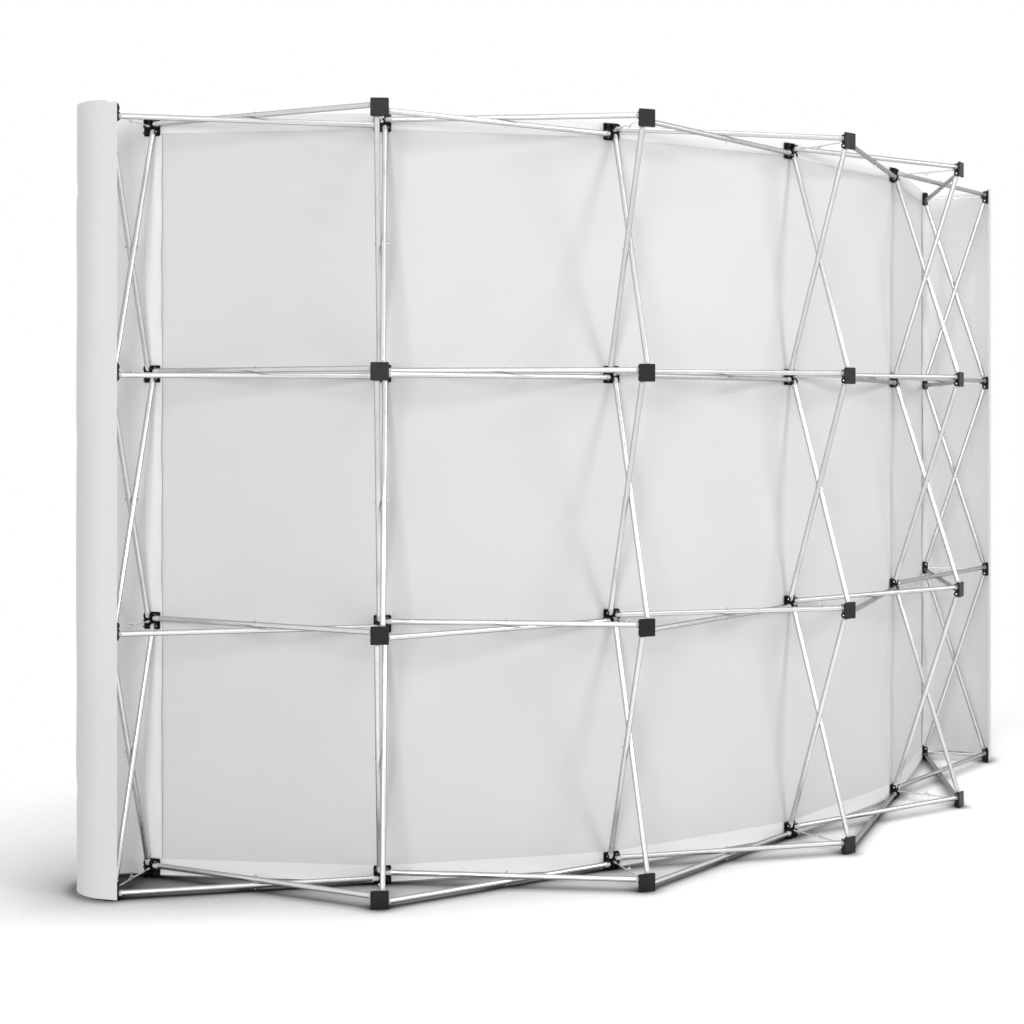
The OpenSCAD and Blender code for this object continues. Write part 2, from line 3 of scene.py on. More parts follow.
import bpy
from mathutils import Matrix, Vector


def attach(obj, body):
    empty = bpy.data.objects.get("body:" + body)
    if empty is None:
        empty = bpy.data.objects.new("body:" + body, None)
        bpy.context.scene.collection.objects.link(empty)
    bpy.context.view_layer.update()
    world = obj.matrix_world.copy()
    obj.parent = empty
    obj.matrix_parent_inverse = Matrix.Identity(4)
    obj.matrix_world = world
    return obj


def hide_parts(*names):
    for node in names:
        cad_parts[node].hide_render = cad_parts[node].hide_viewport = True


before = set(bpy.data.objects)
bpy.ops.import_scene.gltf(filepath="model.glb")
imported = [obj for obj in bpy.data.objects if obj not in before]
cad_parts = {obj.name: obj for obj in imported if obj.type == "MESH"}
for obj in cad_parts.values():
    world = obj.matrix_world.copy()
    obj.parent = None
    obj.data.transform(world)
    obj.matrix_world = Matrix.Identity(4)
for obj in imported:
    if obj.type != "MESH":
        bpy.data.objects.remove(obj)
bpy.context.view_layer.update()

# ---- Camera ----
# It stands behind the left end of the wall at chest height and looks level along the frame.
# The lens is shifted a little, so that the uprights stay upright as in the photograph.
bpy.ops.object.camera_add(location=(3.0181, 4.1980, 1.3926), rotation=(radians(90), 0, radians(149.747)))
camera = bpy.context.object
camera.name = "studio_camera"
camera.data.sensor_fit = "HORIZONTAL"
camera.data.sensor_width = 36
camera.data.lens = 55.15
camera.data.shift_y = -0.0985
bpy.context.scene.camera = camera
bpy.context.scene.view_settings.view_transform = "Standard"


# ---- Studio ----
# A white room with a tall softbox over the camera, two at its right that throw the struts' soft
# shadows on the cloth, one on the wall's far side and one overhead. The pale floor keeps the wall's
# shadow near it and turns to plain white further out.
def put(tree, kind, settings=None, **inputs):
    """Puts a shader node in a tree. An input takes a value or another node's output."""
    node = tree.nodes.new("ShaderNode" + kind)
    for name, value in (settings or {}).items():
        setattr(node, name, value)
    for name, value in inputs.items():
        socket = node.inputs[int(name[1:]) if name[1:].isdigit() else name.replace("_", " ")]
        if isinstance(value, bpy.types.NodeSocket):
            tree.links.new(value, socket)
        else:
            socket.default_value = value
    return node


def backdrop_rays(tree):
    """1 for the rays that should see the plain white background: camera, glossy, transmission."""
    light_path = put(tree, "LightPath").outputs
    either = put(tree, "Math", {"operation": "MAXIMUM"},
                 i0=light_path["Is Camera Ray"], i1=light_path["Is Glossy Ray"]).outputs[0]
    return put(tree, "Math", {"operation": "MAXIMUM"},
               i0=either, i1=light_path["Is Transmission Ray"]).outputs[0]


world = bpy.data.worlds.new("white_room")
bpy.context.scene.world = world
world.use_nodes = True
tree = world.node_tree
tree.nodes.clear()
room = put(tree, "Background", Color=(1, 1, 1, 1), Strength=0.42)
backdrop = put(tree, "Background", Color=(1, 1, 1, 1), Strength=1.0)
seen = put(tree, "MixShader", i0=backdrop_rays(tree), i1=room.outputs[0], i2=backdrop.outputs[0])
put(tree, "OutputWorld", Surface=seen.outputs[0])

wall_middle = Vector((0.0, 0.0, 1.1))
for name, place, wide, tall, power in (
    ("camera_softbox", (4.6, 4.5, 2.6), 1.5, 2.6, 126),
    ("key_softbox", (-2.4, 4.6, 3.0), 1.4, 1.8, 75),
    ("side_softbox", (-4.6, 2.8, 3.0), 1.4, 1.8, 24),
    ("front_softbox", (2.2, -5.2, 2.6), 2.0, 2.0, 75),
    ("overhead_softbox", (0.2, 1.8, 4.8), 2.4, 2.4, 31),
):
    bpy.ops.object.light_add(type="AREA", location=place)
    lamp = bpy.context.object
    lamp.name = name
    lamp.rotation_euler = (wall_middle - Vector(place)).to_track_quat("-Z", "Y").to_euler()
    lamp.data.shape = "RECTANGLE"
    lamp.data.size, lamp.data.size_y = wide, tall
    lamp.data.energy = power

bpy.ops.object.select_all(action="DESELECT")
bpy.ops.mesh.primitive_grid_add(x_subdivisions=8, y_subdivisions=8, size=40)
floor = bpy.context.object
floor.name = "studio_floor"
paint = bpy.data.materials.new("white_floor")
paint.use_nodes = True
tree = paint.node_tree
tree.nodes.clear()
shaded_area, fade_from, floor_tone = (3.4, 2.0, 1.0), 0.62, 0.75
place = put(tree, "TexCoord").outputs["Object"]
near_wall = put(tree, "Mapping", {"vector_type": "TEXTURE"}, Vector=place, Scale=shaded_area)
from_wall = put(tree, "VectorMath", {"operation": "LENGTH"}, i0=near_wall.outputs[0]).outputs["Value"]
fade = put(tree, "MapRange", {"interpolation_type": "SMOOTHSTEP"},
           Value=from_wall, i1=fade_from, i2=1.0).outputs[0]
# Contact shade: fine under each tube, soft round the frame, and broad towards the wall's left end.
along = put(tree, "SeparateXYZ", Vector=place).outputs["X"]
towards_left = put(tree, "MapRange", Value=along, i1=-1.2, i2=1.6, i3=0.0, i4=1.8).outputs[0]
shade = 1.0
for reach, depth in ((0.05, 1.6), (0.3, 0.45), (0.6, towards_left)):
    clear = put(tree, "AmbientOcclusion", {"samples": 8}, Distance=reach).outputs["AO"]
    deepened = put(tree, "Math", {"operation": "POWER"}, i0=clear, i1=depth).outputs[0]
    shade = put(tree, "Math", {"operation": "MULTIPLY"}, i0=shade, i1=deepened).outputs[0]
pale = put(tree, "Math", {"operation": "MULTIPLY"}, i0=shade, i1=floor_tone).outputs[0]
lit = put(tree, "BsdfDiffuse", Color=pale)
lifted = put(tree, "AddShader", i0=lit.outputs[0], i1=lit.outputs[0])
white = put(tree, "Emission", Color=(1, 1, 1, 1), Strength=1.0)
faded = put(tree, "MixShader", i0=fade, i1=lifted.outputs[0], i2=white.outputs[0])
plain = put(tree, "BsdfDiffuse", Color=(0.8, 0.8, 0.8, 1))
surface = put(tree, "MixShader", i0=backdrop_rays(tree), i1=plain.outputs[0], i2=faded.outputs[0])
put(tree, "OutputMaterial", Surface=surface.outputs[0])
floor.data.materials.append(paint)

# The front softbox passes over the floor, which keeps the wall's shadow beside the left wrap.
kept_dark = bpy.data.collections.new("kept_dark")
kept_dark.objects.link(floor)
kept_dark.collection_objects[0].light_linking.link_state = "EXCLUDE"
bpy.data.objects["front_softbox"].light_linking.receiver_collection = kept_dark


# ---- Hubs and caps ----
# The hubs are moulded in black glass-filled nylon with a fine eroded grain, and years of folding
# have rubbed their edges a little paler. A flat cap of the same nylon closes each rear hub.
def effect(name, inputs, outputs):
    """An empty shader node group: its tree, its inputs' node and its outputs' node."""
    group = bpy.data.node_groups.new(name, "ShaderNodeTree")
    for label, kind, value in inputs:
        socket = group.interface.new_socket(label, in_out="INPUT", socket_type="NodeSocket" + kind)
        socket.default_value = value
    for label, kind in outputs:
        group.interface.new_socket(label, in_out="OUTPUT", socket_type="NodeSocket" + kind)
    return group, group.nodes.new("NodeGroupInput"), group.nodes.new("NodeGroupOutput")


def use(tree, group, **inputs):
    """Places a node group in a material and returns its outputs."""
    return put(tree, "Group", {"node_tree": group}, **inputs).outputs


def finish_named(name, **constants):
    """A new material: itself, its node tree and its shader."""
    material = bpy.data.materials.new(name)
    material.use_nodes = True
    shader = material.node_tree.nodes["Principled BSDF"]
    for socket, value in constants.items():
        shader.inputs[socket.replace("_", " ")].default_value = value
    return material, material.node_tree, shader


def blend_colours(tree, share, first, second):
    return put(tree, "Mix", {"data_type": "RGBA"}, i0=share, i6=first, i7=second).outputs[2]


def bump(tree, shader, height, distance, strength=1.0, **more):
    relief = put(tree, "Bump", Strength=strength, Distance=distance, Height=height, **more)
    tree.links.new(relief.outputs[0], shader.inputs["Normal"])


def dress(material, *names):
    """Gives CAD nodes a material in place of the plain one they came with."""
    for name in names:
        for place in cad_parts[name].material_slots:
            place.material = material


# Speckle: a noise on the object's own coordinates, stretched to run from Low to High.
speckle, given, result = effect(
    "speckle", [("Scale", "Float", 50.0), ("Low", "Float", 0.0), ("High", "Float", 1.0)],
    [("Value", "Float")])
place = put(speckle, "TexCoord").outputs["Object"]
noise = put(speckle, "TexNoise", Vector=place, Scale=given.outputs["Scale"], Detail=3.0)
spread = put(speckle, "MapRange", Value=noise.outputs["Fac"], i1=0.3, i2=0.7,
             i3=given.outputs["Low"], i4=given.outputs["High"])
speckle.links.new(spread.outputs[0], result.inputs["Value"])

# Rubbed edge: 1 along the outer edges of a piece, broken up by a coarse noise.
rubbed_edge, given, result = effect("rubbed edge", [("Width", "Float", 0.0008)], [("Mask", "Float")])
rounded = put(rubbed_edge, "Bevel", {"samples": 4}, Radius=given.outputs["Width"]).outputs[0]
flat = put(rubbed_edge, "NewGeometry").outputs["Normal"]
alike = put(rubbed_edge, "VectorMath", {"operation": "DOT_PRODUCT"}, i0=rounded, i1=flat).outputs["Value"]
edge = put(rubbed_edge, "MapRange", Value=alike, i1=0.99, i2=0.86, i3=0.0, i4=1.0).outputs[0]
patches = use(rubbed_edge, speckle, Scale=140.0, Low=0.25, High=1.0)["Value"]
broken = put(rubbed_edge, "Math", {"operation": "MULTIPLY"}, i0=edge, i1=patches).outputs[0]
rubbed_edge.links.new(broken, result.inputs["Mask"])


def black_nylon(name, dark, pale, rough_low, rough_high):
    nylon, tree, shader = finish_named(name, IOR=1.5, Specular_IOR_Level=0.22)
    cloudy = use(tree, speckle, Scale=35.0, Low=0.0, High=1.0)["Value"]
    base = blend_colours(tree, cloudy, dark, pale)
    wear, worn_tone = 0.4, (0.11, 0.11, 0.115, 1)
    worn = use(tree, rubbed_edge, Width=0.0007)["Mask"]
    worn = put(tree, "Math", {"operation": "MULTIPLY"}, i0=worn, i1=wear).outputs[0]
    tree.links.new(blend_colours(tree, worn, base, worn_tone), shader.inputs["Base Color"])
    sheen = use(tree, speckle, Scale=60.0, Low=rough_low, High=rough_high)["Value"]
    tree.links.new(sheen, shader.inputs["Roughness"])
    grain = use(tree, speckle, Scale=1400.0)["Value"]
    bump(tree, shader, grain, 0.00006, 0.5)
    return nylon


columns, levels = range(1, 7), range(1, 5)
hub_nylon = black_nylon(
    "black_hub_nylon", (0.004, 0.004, 0.005, 1), (0.009, 0.009, 0.010, 1), 0.42, 0.55)
dress(hub_nylon, *[f"{row}_hubs_c{c}" for row in ("front", "rear") for c in columns])
cap_nylon = black_nylon(
    "black_cap_nylon", (0.010, 0.010, 0.011, 1), (0.018, 0.018, 0.019, 1), 0.38, 0.52)
dress(cap_nylon, "rear_hub_caps")

# ---- Struts ----
# Thin aluminium tube, satin anodised. The mill's drawing lines run along each tube, so the
# finish is told which way its tubes lie. The rivets and pins are bright zinc-plated steel.
hub_half = 0.026
row_pitch = 0.739
frame_depth = 0.2255
bay_turn = radians(18.2)
pin_reach = 0.015
front_ring, rear_ring = 2.22516, 2.45066
wall_centre_y = -1.962766


def column_angle(c):
    return (3.5 - c) * bay_turn


def wall_point(c, ring, side=0.0):
    """The plan of a point on column c: ring is its radius, side its step towards column c - 1."""
    a = column_angle(c)
    return Vector((ring * sin(a) + side * cos(a), ring * cos(a) - side * sin(a) + wall_centre_y, 0))


# Drawing lines: a noise squeezed across the tube and drawn out along it.
drawn_lines, given, result = effect("drawing lines", [("Along", "Vector", (1, 0, 0))], [("Value", "Float")])
place = put(drawn_lines, "TexCoord").outputs["Object"]
length = put(drawn_lines, "VectorMath", {"operation": "DOT_PRODUCT"},
             i0=place, i1=given.outputs["Along"]).outputs["Value"]
part = put(drawn_lines, "Math", {"operation": "MULTIPLY"}, i0=length, i1=0.985).outputs[0]
down = put(drawn_lines, "VectorMath", {"operation": "SCALE"},
           i0=given.outputs["Along"], Scale=part).outputs[0]
squeezed = put(drawn_lines, "VectorMath", {"operation": "SUBTRACT"}, i0=place, i1=down).outputs[0]
lines = put(drawn_lines, "TexNoise", Vector=squeezed, Scale=1500.0, Detail=2.0).outputs["Fac"]
drawn_lines.links.new(lines, result.inputs["Value"])


def tube_aluminium(name, along):
    """Satin tube. along is the tubes' direction, or (out, up) for tubes that lean within a column."""
    anodised, tree, shader = finish_named(
        name, Metallic=0.93, IOR=1.45, Specular_Tint=(0.75, 0.75, 0.76, 1))
    if len(along) == 2:
        place = put(tree, "TexCoord").outputs["Object"]
        from_axis = put(tree, "VectorMath", {"operation": "SUBTRACT"},
                        i0=place, i1=(0, wall_centre_y, 0)).outputs[0]
        level = put(tree, "VectorMath", {"operation": "MULTIPLY"}, i0=from_axis, i1=(1, 1, 0)).outputs[0]
        outward = put(tree, "VectorMath", {"operation": "NORMALIZE"}, i0=level).outputs[0]
        run = put(tree, "VectorMath", {"operation": "SCALE"}, i0=outward, Scale=along[0]).outputs[0]
        along = put(tree, "VectorMath", {"operation": "ADD"}, i0=run, i1=(0, 0, along[1])).outputs[0]
    lines = use(tree, drawn_lines, Along=along)["Value"]
    cloudy = use(tree, speckle, Scale=9.0)["Value"]
    tone = blend_colours(tree, cloudy, (0.63, 0.635, 0.64, 1), (0.71, 0.715, 0.72, 1))
    tone = blend_colours(tree, put(tree, "Math", {"operation": "MULTIPLY"}, i0=lines, i1=0.3).outputs[0],
                         tone, (0.78, 0.78, 0.79, 1))
    # Painted shade: the colour turns grey towards the tubes' edges and where they are seen nearly end on.
    painted_rim_shade_tone, painted_rim_shade_share = (0.14, 0.14, 0.148, 1), 0.46
    facing = put(tree, "LayerWeight", Blend=0.5).outputs["Facing"]
    painted_rim_shade = put(tree, "MapRange", {"interpolation_type": "SMOOTHSTEP"},
              Value=facing, i1=0.2, i2=0.65, i4=painted_rim_shade_share).outputs[0]
    tree.links.new(blend_colours(tree, painted_rim_shade, tone, painted_rim_shade_tone), shader.inputs["Base Color"])
    rough = put(tree, "MapRange", Value=lines, i1=0.3, i2=0.7, i3=0.2, i4=0.31).outputs[0]
    tree.links.new(rough, shader.inputs["Roughness"])
    bump(tree, shader, lines, 0.00002, 0.4)
    return anodised


for bay in range(1, 6):
    for kind, start, stop in (("upper", bay, bay + 1), ("lower", bay + 1, bay)):
        side = -pin_reach if stop > start else pin_reach
        along = (wall_point(stop, rear_ring, -side) - wall_point(start, front_ring, side)).normalized()
        name = f"{kind}_struts_bay{bay}"
        dress(tube_aluminium(f"aluminium_{kind}_bay{bay}", tuple(along)), name)
rise = row_pitch - 2 * pin_reach
strut_len = hypot(rise, frame_depth)
for name, out in (("rising_struts", -frame_depth), ("falling_struts", frame_depth)):
    dress(tube_aluminium("aluminium_" + name, (out / strut_len, rise / strut_len)), name)

# ---- End plugs, pins and rivets ----
# The plugs are pale grey acetal, turned round at the tip so that they swing in their clevis.
# Pins and rivets are plated steel with pressed, slightly dimpled heads.
acetal, tree, shader = finish_named("pale_acetal", IOR=1.48)
tone = use(tree, speckle, Scale=45.0)["Value"]
base = blend_colours(tree, tone, (0.60, 0.61, 0.62, 1), (0.66, 0.67, 0.68, 1))
worn = use(tree, rubbed_edge, Width=0.0006)["Mask"]
tree.links.new(blend_colours(tree, worn, base, (0.74, 0.74, 0.74, 1)), shader.inputs["Base Color"])
tree.links.new(use(tree, speckle, Scale=90.0, Low=0.28, High=0.42)["Value"], shader.inputs["Roughness"])
bump(tree, shader, use(tree, speckle, Scale=600.0)["Value"], 0.00004, 0.4)
dress(acetal, "strut_end_plugs")


def plated_steel(name, dull, bright, rough_low, rough_high):
    steel, tree, shader = finish_named(name, Metallic=1.0, IOR=2.5)
    tone = use(tree, speckle, Scale=220.0)["Value"]
    base = blend_colours(tree, tone, dull, bright)
    worn = use(tree, rubbed_edge, Width=0.0004)["Mask"]
    tree.links.new(blend_colours(tree, worn, base, (0.86, 0.86, 0.85, 1)), shader.inputs["Base Color"])
    tree.links.new(use(tree, speckle, Scale=300.0, Low=rough_low, High=rough_high)["Value"],
                   shader.inputs["Roughness"])
    bump(tree, shader, use(tree, speckle, Scale=900.0)["Value"], 0.00003, 0.5)
    return steel


pin_steel = plated_steel("bright_pin_steel", (0.82, 0.82, 0.82, 1), (0.92, 0.92, 0.92, 1), 0.2, 0.32)
dress(pin_steel, "hub_pins", "arm_hinge_pins")
rivet_steel = plated_steel("rivet_steel", (0.52, 0.52, 0.53, 1), (0.66, 0.66, 0.67, 1), 0.26, 0.4)
dress(rivet_steel, "crossing_rivets")

# ---- Lock links ----
# Zinc-plated steel rod: a hook arm fixed in each front hub and a pin arm hinged on each rear
# hub, which drops its ball-ended cross pin into the hook and holds the frame open.
link_steel = plated_steel("link_steel", (0.66, 0.66, 0.67, 1), (0.78, 0.78, 0.78, 1), 0.22, 0.36)
dress(link_steel, "hook_arms", *[f"pin_arm_c{c}_l{v}" for c in columns for v in levels])

# ---- Hook pads ----
# Self-adhesive patches of moulded nylon hooks, on every front hub's face and on the end rear
# hubs' caps. One is modelled, as a thin backing with a bed of hooks, and copied to each hub.
face_front, cap_front = 0.0113, 0.0135
pad_w, pad_t, backing_share = 0.040, 0.0016, 0.45
bpy.ops.object.select_all(action="DESELECT")
bpy.ops.mesh.primitive_cube_add(size=1)
pad = bpy.context.object
pad.name = "hook_pads"
pad.scale = (pad_w, pad_w, pad_t * backing_share)
pad.location = (0, 0, pad_t * backing_share / 2)
bpy.ops.object.transform_apply(location=True, rotation=False, scale=True)
bpy.ops.object.mode_set(mode="EDIT")
bpy.ops.mesh.select_mode(type="EDGE")
bpy.ops.mesh.select_all(action="DESELECT")
bpy.ops.object.mode_set(mode="OBJECT")
for e in pad.data.edges:
    ends = [pad.data.vertices[v].co for v in e.vertices]
    e.select = abs(ends[0].z - ends[1].z) > 1e-5
bpy.ops.object.mode_set(mode="EDIT")
bpy.ops.mesh.bevel(offset=0.004, segments=4, affect="EDGES")
bpy.ops.mesh.select_mode(type="FACE")
bpy.ops.mesh.select_all(action="DESELECT")
bpy.ops.object.mode_set(mode="OBJECT")
for f in pad.data.polygons:
    f.select = f.normal.z > 0.9
bpy.ops.object.mode_set(mode="EDIT")
bpy.ops.mesh.inset(thickness=0.0009)
bpy.ops.mesh.extrude_region_move(
    TRANSFORM_OT_translate={"value": (0, 0, pad_t * (1 - backing_share))})
bpy.ops.mesh.inset(thickness=0.0006)
bpy.ops.object.mode_set(mode="OBJECT")


def stand_at_hub(points, c, v, ring, outward):
    """Moves points from a hub's face, +Z out of it and +Y up, to column c and level v."""
    a = column_angle(c)
    radial, side = Vector((sin(a), cos(a), 0)) * outward, Vector((cos(a), -sin(a), 0)) * -outward
    centre = wall_point(c, ring)
    centre.z = hub_half + (v - 1) * row_pitch
    return [centre + side * p.x + Vector((0, 0, p.y)) + radial * p.z for p in points]


shape = [v.co.copy() for v in pad.data.vertices]
places = [(c, v, front_ring - face_front, -1) for c in columns for v in levels]
places += [(c, v, rear_ring + cap_front, 1) for c in (1, 6) for v in levels]
copies = []
for c, v, ring, outward in places:
    copy = pad.copy()
    copy.data = pad.data.copy()
    bpy.context.collection.objects.link(copy)
    for vertex, place in zip(copy.data.vertices, stand_at_hub(shape, c, v, ring, outward)):
        vertex.co = place
    copies.append(copy)
bpy.data.objects.remove(pad)
bpy.ops.object.select_all(action="DESELECT")
for copy in copies:
    copy.select_set(True)
bpy.context.view_layer.objects.active = copies[0]
bpy.ops.object.join()
pads = bpy.context.object
pads.name = "hub_hook_pads"
hook_bed, tree, shader = finish_named("hook_pad_nylon", IOR=1.5)
place = put(tree, "TexCoord").outputs["Object"]
hooks = put(tree, "TexVoronoi", {"feature": "DISTANCE_TO_EDGE"},
            Vector=place, Scale=620.0).outputs["Distance"]
# Painted shade: the bed is darker in the low lines between the hooks and lighter on their raised tops,
# following the bump's relief.
tone = blend_colours(tree, hooks, (0.008, 0.008, 0.009, 1), (0.03, 0.03, 0.032, 1))
tree.links.new(tone, shader.inputs["Base Color"])
tree.links.new(use(tree, speckle, Scale=200.0, Low=0.5, High=0.75)["Value"], shader.inputs["Roughness"])
bump(tree, shader, hooks, 0.0004)
pads.data.materials.clear()
pads.data.materials.append(hook_bed)
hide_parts("hook_pads")
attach(pads, "frame")

# ---- Graphic ----
# One sheet of white knitted polyester, pulled flat between the columns and held on the hubs'
# hook pads. It cuts the corner at each column in a crease that narrows at every hub, with
# small puckers round the pads and shallow ripples where the pull is uneven.
fabric_t = 0.0006
fabric_back = 2.21096
slope = tan(bay_turn / 2)
crease_at_hub, crease_between = 0.050, 0.150
fabric_vertex = fabric_back + slope * crease_at_hub / 2
bay_chord = 2 * fabric_vertex * sin(bay_turn / 2)
fabric_low, fabric_high = 0.003, 2.273


def between_levels(z):
    """0 level with a hub and 1 midway between two hubs."""
    f = (z - hub_half) / row_pitch
    return 0.0 if f <= 0 or f >= 3 else sin(pi * (f - int(f))) ** 2


def crease_drop(c, u, z):
    """How far the pulled fabric cuts the corner, at distance u from column c."""
    w = crease_at_hub
    if c not in (1, 6):
        w += (crease_between - crease_at_hub) * between_levels(z)
    return 0.0 if u >= w else slope * w / 2 * (1 - u / w) ** 2


def ripple(x, z):
    """Small uneven pull, in metres towards the audience. x runs from column 1 to column 6."""
    drop = 0.0
    for c in columns:
        for v in levels:
            along, up = x - (c - 1) * bay_chord, z - hub_half - (v - 1) * row_pitch
            d = hypot(along, up)
            if 0.02 < d < 0.26:
                turn = atan2(up, along)
                spokes = sin(5 * turn + 1.3 * c + 2.1 * v) + 0.6 * sin(3 * turn + 0.7 * c - v)
                drop += 0.0011 * spokes * min(1, (d - 0.02) / 0.03) * exp(-d / 0.07)
    # Soft slanting wrinkles in the upper corners, deepest in the first bay.
    for at, high, lean, deep in ((0.50, 2.02, 1.1, 1.0), (1.12, 2.06, -0.9, 0.5), (2.32, 1.98, 0.8, 0.4),
                                 (0.30, 0.28, -1.2, 0.5), (1.85, 0.24, 1.0, 0.4)):
        along, up = x - at, z - high
        across = along * cos(lean) + up * sin(lean)
        reach = exp(-(along ** 2 + up ** 2) / 0.035)
        drop += 0.0012 * deep * reach * sin(across * 2 * pi / 0.085)
    slack = sin(x * 5.1 + 0.8 * sin(z * 2.3)) * sin(z * 3.7 + x * 0.9)
    return drop + 0.0008 * slack * between_levels(z)


def panel_point(x, z, offset):
    """A point of the sheet at x metres from column 1. Beyond the end columns it runs straight on."""
    b = min(5, max(1, int(x / bay_chord) + 1))
    s = x / bay_chord - (b - 1)
    if 0 <= s <= 1:
        start, stop = wall_point(b, fabric_vertex), wall_point(b + 1, fabric_vertex)
        p = start + (stop - start) * s
        for c, u in ((b, s * bay_chord), (b + 1, (1 - s) * bay_chord)):
            a = column_angle(c)
            p -= Vector((sin(a), cos(a), 0)) * crease_drop(c, u, z)
        out = column_angle(b + s)
        p -= Vector((sin(out), cos(out), 0)) * (offset + ripple(x, z))
    else:
        c = 1 if s < 0 else 6
        beyond = -x if c == 1 else x - 5 * bay_chord
        p = wall_point(c, fabric_vertex - crease_drop(c, 0, z) - offset, beyond if c == 1 else -beyond)
    p.z = z
    return p


def steps(start, stop, count, pinch):
    """Places from start to stop, closer together at both ends."""
    return [start + (stop - start) * (i / count - pinch * sin(2 * pi * i / count) / (2 * pi))
            for i in range(count + 1)]


def cloth(name, across, up, place, thickness, toward, sides=()):
    """A grid of cloth with its own flat map in metres, shaped point by point, then thickened.
    sides are the materials of the side the grid's normals point to and of the other side."""
    bpy.ops.object.select_all(action="DESELECT")
    bpy.ops.mesh.primitive_grid_add(x_subdivisions=len(across) - 1, y_subdivisions=len(up) - 1, size=2)
    sheet = bpy.context.object
    sheet.name = name
    mesh = sheet.data
    spots = []
    for vertex in mesh.vertices:
        i = round((vertex.co.x + 1) / 2 * (len(across) - 1))
        j = round((vertex.co.y + 1) / 2 * (len(up) - 1))
        spots.append((across[i], up[j]))
    for vertex, (x, z) in zip(mesh.vertices, spots):
        vertex.co = place(x, z)
    flat_map = mesh.uv_layers.active or mesh.uv_layers.new(name="flat")
    for loop in mesh.loops:
        flat_map.data[loop.index].uv = spots[loop.vertex_index]
    for material in sides:
        mesh.materials.append(material)
    wall = sheet.modifiers.new("thickness", "SOLIDIFY")
    wall.thickness = thickness
    wall.offset = toward
    wall.use_even_offset = True
    wall.material_offset = len(sides) - 1
    bpy.ops.object.modifier_apply(modifier=wall.name)
    bpy.ops.object.shade_smooth_by_angle(angle=radians(40))
    return sheet


across = [-hub_half, -hub_half / 2]
for b in range(5):
    across += steps(b * bay_chord, (b + 1) * bay_chord, 46, 0.55)[:-1]
across += [5 * bay_chord, 5 * bay_chord + hub_half / 2, 5 * bay_chord + hub_half]
up = [fabric_low, fabric_low + 0.011]
for q in range(3):
    up += steps(hub_half + q * row_pitch, hub_half + (q + 1) * row_pitch, 54, 0.5)[:-1]
up += [hub_half + 3 * row_pitch, fabric_high - 0.012, fabric_high]
graphic = cloth("fabric_graphic", across, up, lambda x, z: panel_point(x, z, 0), fabric_t, -1)

# Knit: fine ribs and courses along the sheet's own map, in metres.
knit, given, result = effect(
    "knit", [("Pitch", "Float", 0.0011), ("Uneven", "Float", 0.3)], [("Height", "Float"), ("Tone", "Float")])
flat = put(knit, "UVMap").outputs[0]
scaled = put(knit, "VectorMath", {"operation": "DIVIDE"}, i0=flat).outputs[0]
divide = scaled.node
pitch = put(knit, "CombineXYZ", X=given.outputs["Pitch"], Y=given.outputs["Pitch"], Z=1.0).outputs[0]
knit.links.new(pitch, divide.inputs[1])
split = put(knit, "SeparateXYZ", Vector=scaled).outputs
waves = []
for axis, share in (("X", 2 * pi), ("Y", pi)):
    turn = put(knit, "Math", {"operation": "MULTIPLY"}, i0=split[axis], i1=share).outputs[0]
    wave = put(knit, "Math", {"operation": "SINE"}, i0=turn).outputs[0]
    waves.append(put(knit, "Math", {"operation": "ABSOLUTE"}, i0=wave).outputs[0])
loops = put(knit, "Math", {"operation": "MULTIPLY"}, i0=waves[0], i1=waves[1]).outputs[0]
wobble = put(knit, "TexNoise", Vector=scaled, Scale=0.35, Detail=2.0).outputs["Fac"]
uneven = put(knit, "Math", {"operation": "MULTIPLY"}, i0=wobble, i1=given.outputs["Uneven"]).outputs[0]
height = put(knit, "Math", {"operation": "ADD"}, i0=loops, i1=uneven).outputs[0]
knit.links.new(height, result.inputs["Height"])
broad = put(knit, "TexNoise", Vector=flat, Scale=3.0, Detail=4.0).outputs["Fac"]
knit.links.new(put(knit, "MapRange", Value=broad, i1=0.3, i2=0.7).outputs[0], result.inputs["Tone"])


def white_cloth(name, low, high, pitch, relief, rough, sheen):
    fabric, tree, shader = finish_named(name, Roughness=rough, Sheen_Weight=sheen, Sheen_Roughness=0.45)
    woven = use(tree, knit, Pitch=pitch)
    # Painted highlight: the colour is lightened a little where the knit's relief stands higher, so the gaps
    # between its loops read darker.
    painted_loop_highlight = put(tree, "Math", {"operation": "MULTIPLY"}, i0=woven["Height"], i1=0.06).outputs[0]
    tone = blend_colours(tree, woven["Tone"], low, high)
    tree.links.new(blend_colours(tree, painted_loop_highlight, tone, (1, 1, 1, 1)), shader.inputs["Base Color"])
    bump(tree, shader, woven["Height"], relief, 0.35)
    return fabric


graphic_cloth = white_cloth(
    "graphic_polyester", (0.745, 0.748, 0.755, 1), (0.765, 0.768, 0.775, 1), 0.0011, 0.00012, 0.85, 0.15)
graphic.data.materials.append(graphic_cloth)
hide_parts("graphic_panel")
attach(graphic, "frame")

